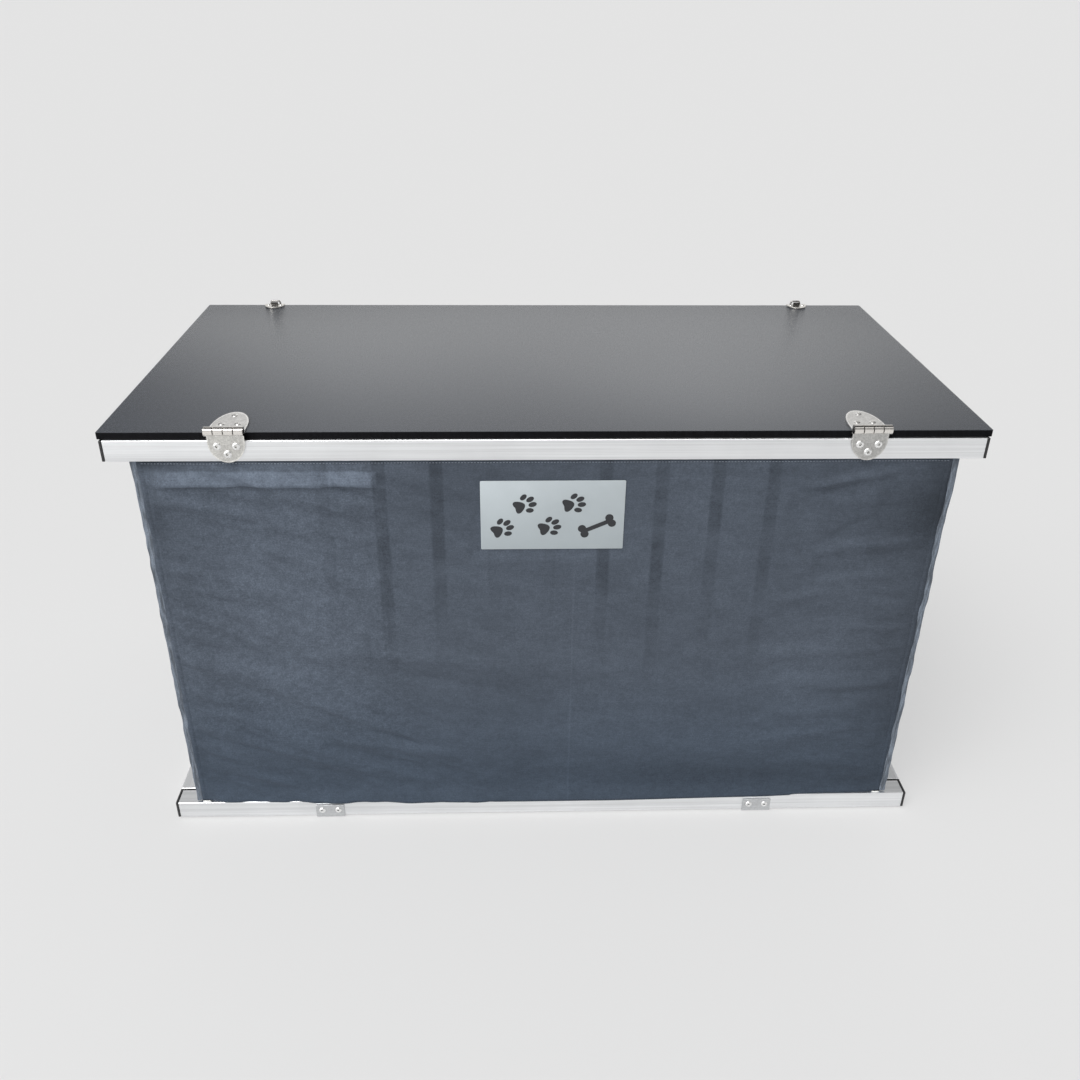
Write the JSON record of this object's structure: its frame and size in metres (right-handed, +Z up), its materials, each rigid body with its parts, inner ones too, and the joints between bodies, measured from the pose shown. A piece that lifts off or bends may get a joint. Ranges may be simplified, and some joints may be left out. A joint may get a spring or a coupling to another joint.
{
  "type": "grooming table",
  "caption": "Box-shaped grooming table: a hinged plate top with draw latches on a square-tube frame with bar walls under a stretched fabric cover.",
  "frame": {"origin": "middle of the bounding box's base, at floor level under the feet", "axes": "+X along the table's length to the right, +Y to the rear (latch side), +Z up; the hinges and the label are on the -Y side"},
  "size_m": [1, 0.5242, 0.5726],
  "materials": {
    "top_laminate": "fine satin grain, black core at the edge",
    "aluminium": "extruded, with fine lengthwise lines",
    "cap_plastic": "moulded",
    "stainless": "brushed",
    "bracket_steel": "brushed",
    "cover_cloth": "plain weave polyester",
    "label_print": "sewn patch",
    "floor_board": "film-faced"
  },
  "bodies": {
    "frame": {"bottom_front_rail": "aluminium", "bottom_front_rail_cap_left": "cap_plastic", "bottom_front_rail_cap_right": "cap_plastic", "bottom_rear_rail": "aluminium", "bottom_rear_rail_cap_left": "cap_plastic", "bottom_rear_rail_cap_right": "cap_plastic", "bottom_left_rail": "aluminium", "bottom_left_rail_cap_front": "cap_plastic", "bottom_left_rail_cap_rear": "cap_plastic", "bottom_right_rail": "aluminium", "bottom_right_rail_cap_front": "cap_plastic", "bottom_right_rail_cap_rear": "cap_plastic", "top_front_rail": "aluminium", "top_front_rail_cap_left": "cap_plastic", "top_front_rail_cap_right": "cap_plastic", "top_rear_rail": "aluminium", "top_rear_rail_cap_left": "cap_plastic", "top_rear_rail_cap_right": "cap_plastic", "top_left_rail": "aluminium", "top_left_rail_cap_front": "cap_plastic", "top_left_rail_cap_rear": "cap_plastic", "top_right_rail": "aluminium", "top_right_rail_cap_front": "cap_plastic", "top_right_rail_cap_rear": "cap_plastic", "front_bar_grid": "aluminium", "rear_bar_grid": "aluminium", "floor_board": "floor_board", "cover_front": "cover_cloth", "cover_rear": "cover_cloth", "cover_left": "cover_cloth", "cover_right": "cover_cloth", "label_patch": "label_print", "left_hinge_front_leaf": "stainless", "left_hinge_pin": "stainless", "left_latch_base": "stainless", "left_latch_pin": "stainless", "front_left_bracket": "bracket_steel", "rear_left_bracket": "bracket_steel", "right_hinge_front_leaf": "stainless", "right_hinge_pin": "stainless", "right_latch_base": "stainless", "right_latch_pin": "stainless", "front_right_bracket": "bracket_steel", "rear_right_bracket": "bracket_steel"},
    "lid": {"table_top": "top_laminate", "left_hinge_top_leaf": "stainless", "right_hinge_top_leaf": "stainless", "left_latch_keeper": "stainless", "right_latch_keeper": "stainless"},
    "left_lever": {"left_latch_lever": "stainless"},
    "left_bail": {"left_latch_bail": "stainless"},
    "right_lever": {"right_latch_lever": "stainless"},
    "right_bail": {"right_latch_bail": "stainless"}
  },
  "joints": [
    {"name": "lid_hinge", "type": "hinge", "parent": "frame", "child": "lid", "pos_m": [0, -0.25765, 0.5681], "axis": [1, 0, 0], "range_deg": [0, 268]},
    {"name": "left_lever_pivot", "type": "hinge", "parent": "frame", "child": "left_lever", "pos_m": [-0.4, 0.25515, 0.5425], "axis": [1, 0, 0], "range_deg": [0, 165]},
    {"name": "left_bail_pivot", "type": "hinge", "parent": "left_lever", "child": "left_bail", "pos_m": [-0.4, 0.25515, 0.5335], "axis": [1, 0, 0], "range_deg": [-165, 0]},
    {"name": "right_lever_pivot", "type": "hinge", "parent": "frame", "child": "right_lever", "pos_m": [0.4, 0.25515, 0.5425], "axis": [1, 0, 0], "range_deg": [0, 165]},
    {"name": "right_bail_pivot", "type": "hinge", "parent": "right_lever", "child": "right_bail", "pos_m": [0.4, 0.25515, 0.5335], "axis": [1, 0, 0], "range_deg": [-165, 0]}
  ],
  "couplings": [
    {"joint": "left_bail_pivot", "follows": "left_lever_pivot", "ratio": -1},
    {"joint": "right_bail_pivot", "follows": "right_lever_pivot", "ratio": -1}
  ]
}
